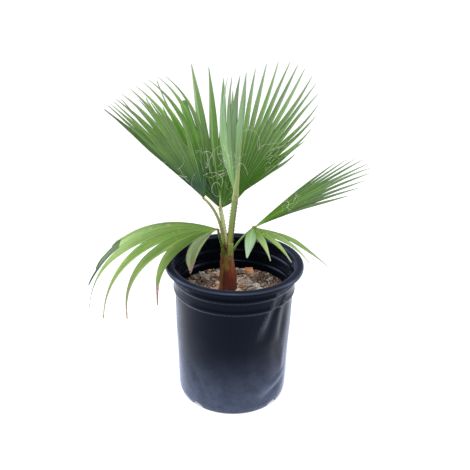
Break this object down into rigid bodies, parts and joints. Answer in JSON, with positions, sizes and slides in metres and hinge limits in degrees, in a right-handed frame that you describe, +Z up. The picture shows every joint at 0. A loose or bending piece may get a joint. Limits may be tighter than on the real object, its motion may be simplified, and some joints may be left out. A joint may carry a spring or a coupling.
{
  "type": "potted mexican fan palm",
  "caption": "Young fan palm in a round black nursery pot of bark mix: short fibrous trunk, thorny petioles and pleated, split fan leaves, one torn.",
  "frame": {"origin": "centre of the pot's flat underside", "axes": "+Z is up. The leaf that arches down lowest reaches towards -X, the torn leaf towards +X, and -Y is the side the picture shows"},
  "size_m": [0.541, 0.2758, 0.6603],
  "materials": {
    "pot": "moulded black polyethylene, slightly shiny and scuffed",
    "bark_mix": "coarse bark chips, peat and perlite",
    "trunk": "dark red-brown leaf bases and fibre",
    "petiole": "pale green, smooth, with thorns along the edges",
    "leaf": "leathery mid green, paler beneath, some dry brown tips"
  },
  "bodies": {
    "root": {"pot": "pot", "bark_mix": "bark_mix", "trunk": "trunk", "petiole_left": "petiole", "petiole_back": "petiole", "petiole_centre": "petiole", "petiole_right": "petiole", "petiole_arching": "petiole", "fan_left": "leaf", "fan_back": "leaf", "fan_centre": "leaf", "fan_right_raised": "leaf", "fan_right_hanging": "leaf", "fan_arching": "leaf"}
  },
  "joints": []
}
